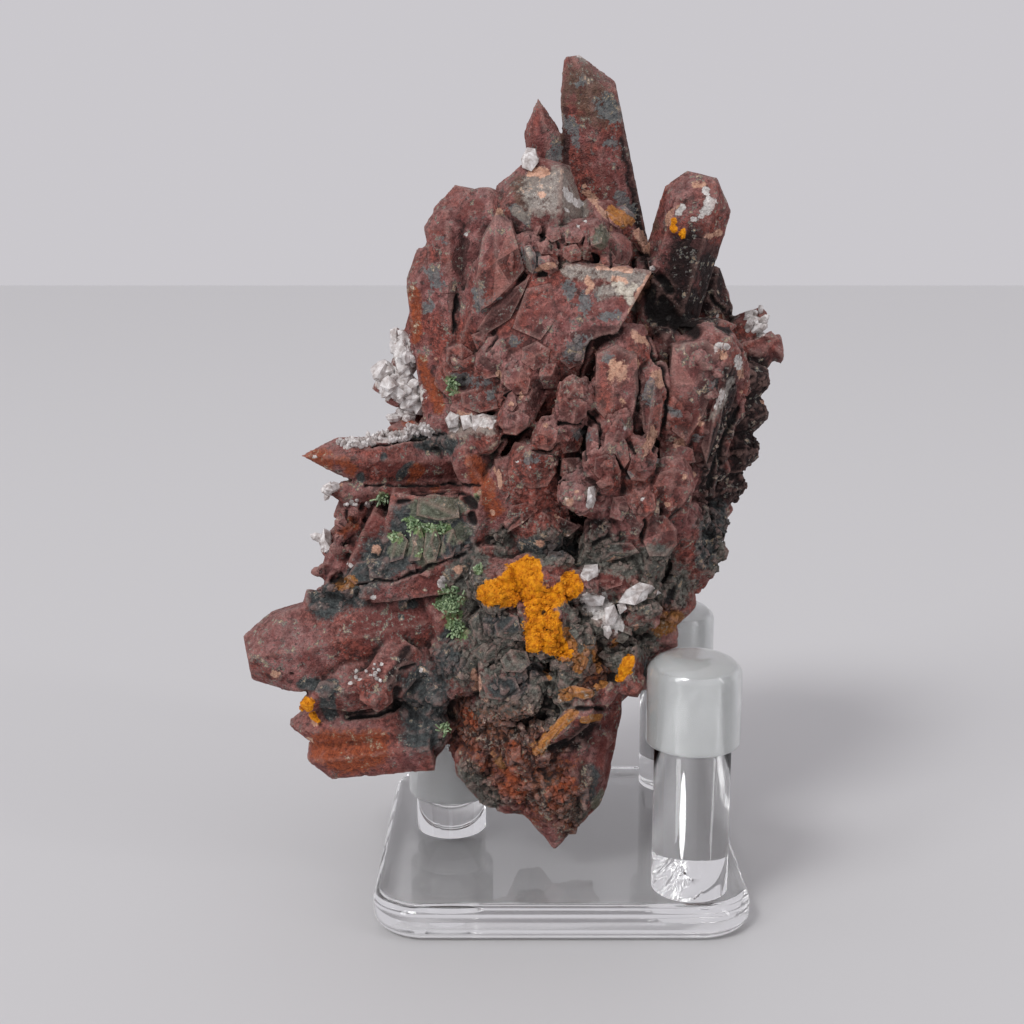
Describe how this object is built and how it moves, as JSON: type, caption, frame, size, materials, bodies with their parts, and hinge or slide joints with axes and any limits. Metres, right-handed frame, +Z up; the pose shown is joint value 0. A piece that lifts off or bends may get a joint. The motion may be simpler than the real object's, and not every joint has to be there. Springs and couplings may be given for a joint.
{
  "type": "quartz crystal cluster on a three-peg display stand",
  "caption": "Upright cluster of iron-stained quartz crystals that rests on the soft caps of three clear pegs standing on a clear square plate.",
  "frame": {"origin": "centre of the plate's flat underside", "axes": "+Z up from the ground, along the cluster's length; +X to the right and +Y to the back, seen from the side that shows the crystal fan"},
  "size_m": [0.0933, 0.0687, 0.143],
  "materials": {
    "stained_quartz": "rough dusty iron-oxide crust over quartz, with orange, green and dark grey patches",
    "clear_acrylic": "polished clear acrylic",
    "soft_clear_cap": "translucent soft vinyl, slightly frosted"
  },
  "bodies": {
    "root": {"quartz_cluster": "stained_quartz", "stand_base": "clear_acrylic", "peg_left": "clear_acrylic", "peg_front_right": "clear_acrylic", "peg_back_right": "clear_acrylic", "cap_left": "soft_clear_cap", "cap_front_right": "soft_clear_cap", "cap_back_right": "soft_clear_cap"}
  },
  "joints": []
}
